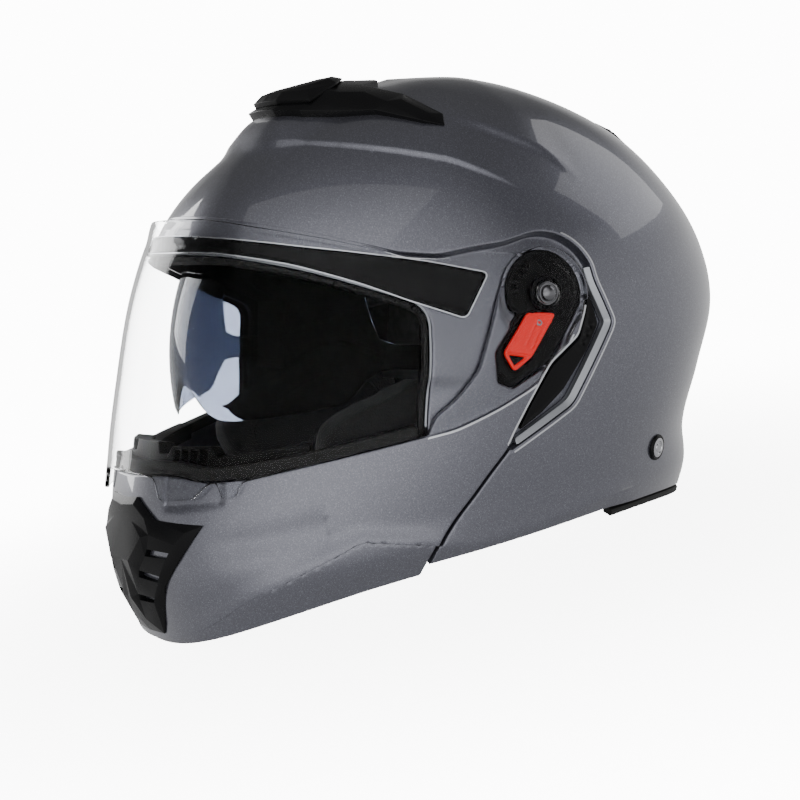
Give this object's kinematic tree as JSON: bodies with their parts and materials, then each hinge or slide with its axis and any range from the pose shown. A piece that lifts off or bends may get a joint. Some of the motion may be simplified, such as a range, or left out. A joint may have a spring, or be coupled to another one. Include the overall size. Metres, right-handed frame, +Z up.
{
  "type": "motorcycle helmet",
  "caption": "Flip-up motorcycle helmet with a turning chin bar, clear visor, drop-down sun visor, vents, foam liner and buckled chin strap.",
  "frame": {"origin": "middle of the helmet's bounding box, on the surface it stands on: the chin bar's bottom edge and the rear rim touch z = 0", "axes": "-Y is where the wearer faces, +X is the wearer's left, +Z is up. The hinge axis of the chin bar and the visor runs along X"},
  "size_m": [0.251, 0.3442, 0.2524],
  "materials": {
    "paint_gunmetal": "gun-metal metallic paint with fine flake under a gloss clear coat",
    "black_gloss": "gloss black moulded plastic",
    "black_matte": "matt black moulded plastic",
    "rubber": "black rubber seal",
    "visor_clear": "clear polished polycarbonate",
    "sun_smoke": "blue-grey smoked polycarbonate",
    "lever_red": "red moulded plastic",
    "chrome": "polished chrome",
    "steel": "brushed steel",
    "foam": "black expanded foam",
    "liner_cloth": "black knitted comfort cloth over foam",
    "webbing": "black woven webbing"
  },
  "bodies": {
    "shell": {"outer_shell": "paint_gunmetal", "port_gasket": "rubber", "brow_insert": "black_gloss", "rim_trim": "rubber", "eps_liner": "foam", "crown_pad": "liner_cloth", "neck_roll": "liner_cloth", "top_vent_base": "black_gloss", "rear_exhaust": "black_matte", "buckle_body": "black_matte", "buckle_tongue": "steel", "cheek_pad_left": "liner_cloth", "cheek_pad_right": "liner_cloth", "side_trim_left": "black_gloss", "side_trim_right": "black_gloss", "pivot_boss_left": "steel", "pivot_boss_right": "steel", "pivot_screw_left": "chrome", "pivot_screw_right": "chrome", "sun_visor_post_left": "steel", "sun_visor_post_right": "steel", "latch_pin_left": "steel", "latch_pin_right": "steel", "strap_rivet_left": "chrome", "strap_rivet_right": "chrome", "chin_strap_left": "webbing", "chin_strap_right": "webbing"},
    "chin_bar": {"chin_bar": "paint_gunmetal", "visor_seal": "rubber", "breath_guard": "black_matte", "chin_liner": "foam", "chin_vent": "black_gloss", "base_plate_left": "black_gloss", "base_plate_right": "black_gloss", "lever_screw_left": "steel", "lever_screw_right": "steel"},
    "visor": {"visor": "visor_clear", "visor_hub_left": "black_matte", "visor_hub_right": "black_matte"},
    "sun_visor": {"sun_visor": "sun_smoke"},
    "sun_visor_slider": {"sun_visor_slider": "black_matte"},
    "top_vent_slider": {"top_vent_slider": "black_matte"},
    "chin_vent_shutter": {"chin_vent_shutter": "black_matte"},
    "release_button": {"release_button": "lever_red"},
    "latch_hook_left": {"latch_hook_left": "steel"},
    "latch_hook_right": {"latch_hook_right": "steel"},
    "release_lever_left": {"release_lever_left": "lever_red"},
    "release_lever_right": {"release_lever_right": "lever_red"},
    "buckle_lever": {"buckle_lever": "lever_red"}
  },
  "joints": [
    {"name": "chin_bar_flip", "type": "hinge", "parent": "shell", "child": "chin_bar", "pos_m": [0, 0.024, 0.134], "axis": [-1, 0, 0], "range_deg": [0, 70]},
    {"name": "visor_tilt", "type": "hinge", "parent": "chin_bar", "child": "visor", "pos_m": [0, 0.024, 0.134], "axis": [-1, 0, 0], "range_deg": [0, 35]},
    {"name": "sun_visor_drop", "type": "hinge", "parent": "shell", "child": "sun_visor", "pos_m": [0, 0.01, 0.105], "axis": [-1, 0, 0], "range_deg": [0, 38]},
    {"name": "sun_visor_slide", "type": "slide", "parent": "shell", "child": "sun_visor_slider", "axis": [0, 1, 0], "range_m": [0, 0.0222]},
    {"name": "top_vent_slide", "type": "slide", "parent": "shell", "child": "top_vent_slider", "axis": [0, 0.97, 0.243], "range_m": [0, 0.005]},
    {"name": "chin_vent_slide", "type": "slide", "parent": "chin_bar", "child": "chin_vent_shutter", "axis": [0, 0, 1], "range_m": [0, 0.005]},
    {"name": "release_button_press", "type": "slide", "parent": "chin_bar", "child": "release_button", "axis": [0, 0, 1], "range_m": [0, 0.004], "stiffness_N_per_m": 500},
    {"name": "latch_hook_left_turn", "type": "hinge", "parent": "chin_bar", "child": "latch_hook_left", "pos_m": [0.092, -0.08, 0.04], "axis": [1, 0, 0], "range_deg": [0, 10.1]},
    {"name": "latch_hook_right_turn", "type": "hinge", "parent": "chin_bar", "child": "latch_hook_right", "pos_m": [-0.092, -0.08, 0.04], "axis": [1, 0, 0], "range_deg": [0, 10.1]},
    {"name": "release_lever_left_slide", "type": "slide", "parent": "chin_bar", "child": "release_lever_left", "axis": [0, -0.6606, -0.7507], "range_m": [0, 0.004], "stiffness_N_per_m": 300},
    {"name": "release_lever_right_slide", "type": "slide", "parent": "chin_bar", "child": "release_lever_right", "axis": [0, -0.6606, -0.7507], "range_m": [0, 0.004], "stiffness_N_per_m": 300},
    {"name": "buckle_lever_lift", "type": "hinge", "parent": "shell", "child": "buckle_lever", "pos_m": [0.02, 0.01, 0.0152], "axis": [0, 1, 0], "range_deg": [0, 40], "stiffness_Nm_per_rad": 0.05}
  ],
  "couplings": [
    {"joint": "sun_visor_slide", "follows": "sun_visor_drop", "m_per_rad": 0.0333},
    {"joint": "latch_hook_left_turn", "follows": "release_button_press", "rad_per_m": 43.6},
    {"joint": "latch_hook_right_turn", "follows": "release_button_press", "rad_per_m": 43.6}
  ]
}
